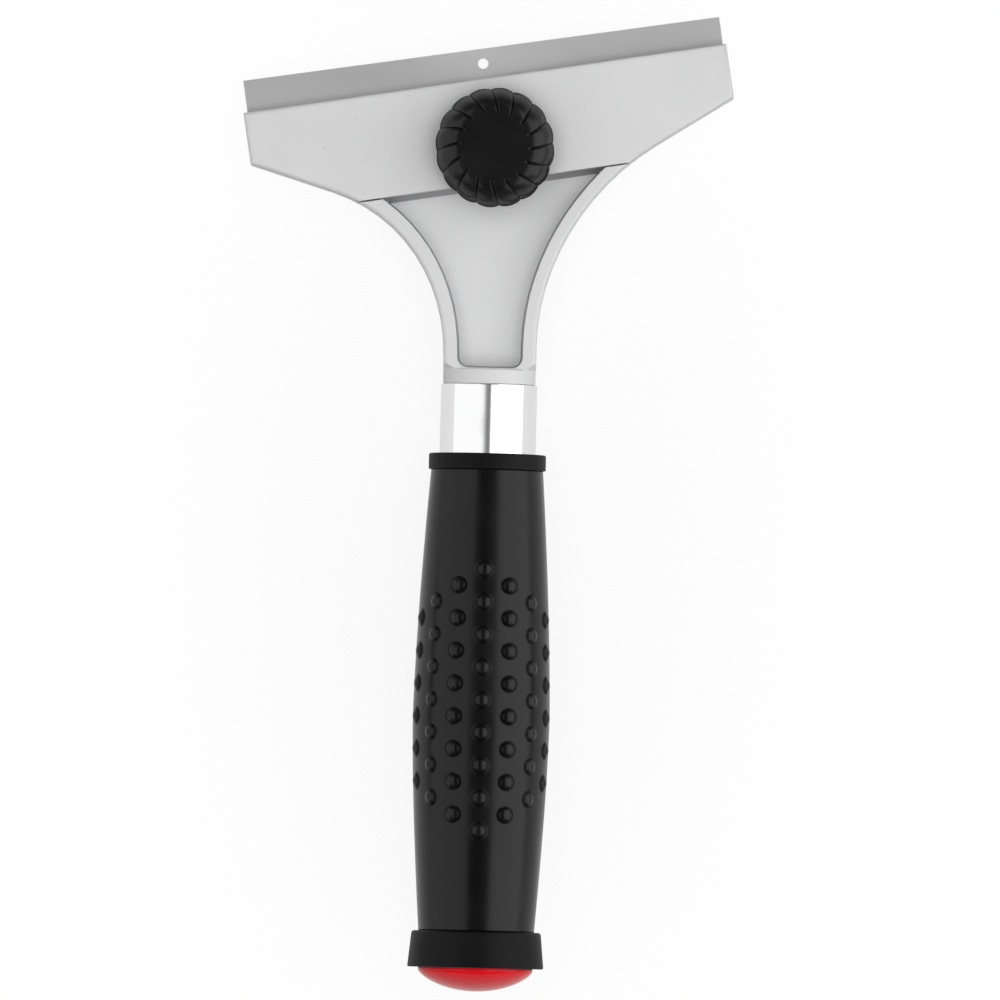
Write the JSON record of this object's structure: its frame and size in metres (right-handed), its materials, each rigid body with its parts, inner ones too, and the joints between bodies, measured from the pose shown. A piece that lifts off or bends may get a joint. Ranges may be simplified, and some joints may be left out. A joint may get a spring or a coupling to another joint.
{
  "type": "grout scraper",
  "caption": "Hand scraper: a skewed cast head clamps a replaceable straight blade under a fluted knob, on a chromed tube with a bumped grip and a domed end button.",
  "frame": {"origin": "middle of the base of the tool's box, with the tool lying on its back", "axes": "+Y along the handle from the butt to the blade, +Z out of the knob's side, +X to the right when the knob faces the viewer and the blade is up"},
  "size_m": [0.1022, 0.204, 0.0347],
  "materials": {
    "cast_alloy": "matte, tumbled die casting",
    "blade_steel": "satin rolled strip",
    "plated_steel": "bright zinc plate",
    "brass": "turned",
    "knob_plastic": "semi-gloss black",
    "chrome": "polished",
    "matte_plastic": "matte black, finely ribbed",
    "grip_vinyl": "semi-gloss black with domed bumps",
    "red_plastic": "gloss red"
  },
  "bodies": {
    "base": {"head_casting": "cast_alloy", "clamp_bolt": "plated_steel", "shaft_tube": "chrome", "grip_collar": "matte_plastic", "grip_sleeve": "grip_vinyl", "butt_cap": "matte_plastic", "end_button": "red_plastic"},
    "clamp": {"clamp_plate": "cast_alloy", "knob_washer": "plated_steel"},
    "knob": {"knob": "knob_plastic", "knob_insert": "brass"},
    "blade": {"blade": "blade_steel"}
  },
  "joints": [
    {"name": "clamp_lift", "type": "slide", "parent": "base", "child": "clamp", "axis": [0, 0, 1], "range_m": [0, 0.002]},
    {"name": "knob_turn", "type": "hinge", "parent": "clamp", "child": "knob", "pos_m": [0.00164, 0.07336, 0.02266], "axis": [0, 0, 1], "range_deg": [0, 720]},
    {"name": "blade_slide", "type": "slide", "parent": "base", "child": "blade", "axis": [-0.1568, 0.9876, 0], "range_m": [0, 0.009]}
  ],
  "couplings": [
    {"joint": "knob_turn", "follows": "clamp_lift", "rad_per_m": 6283.2}
  ]
}
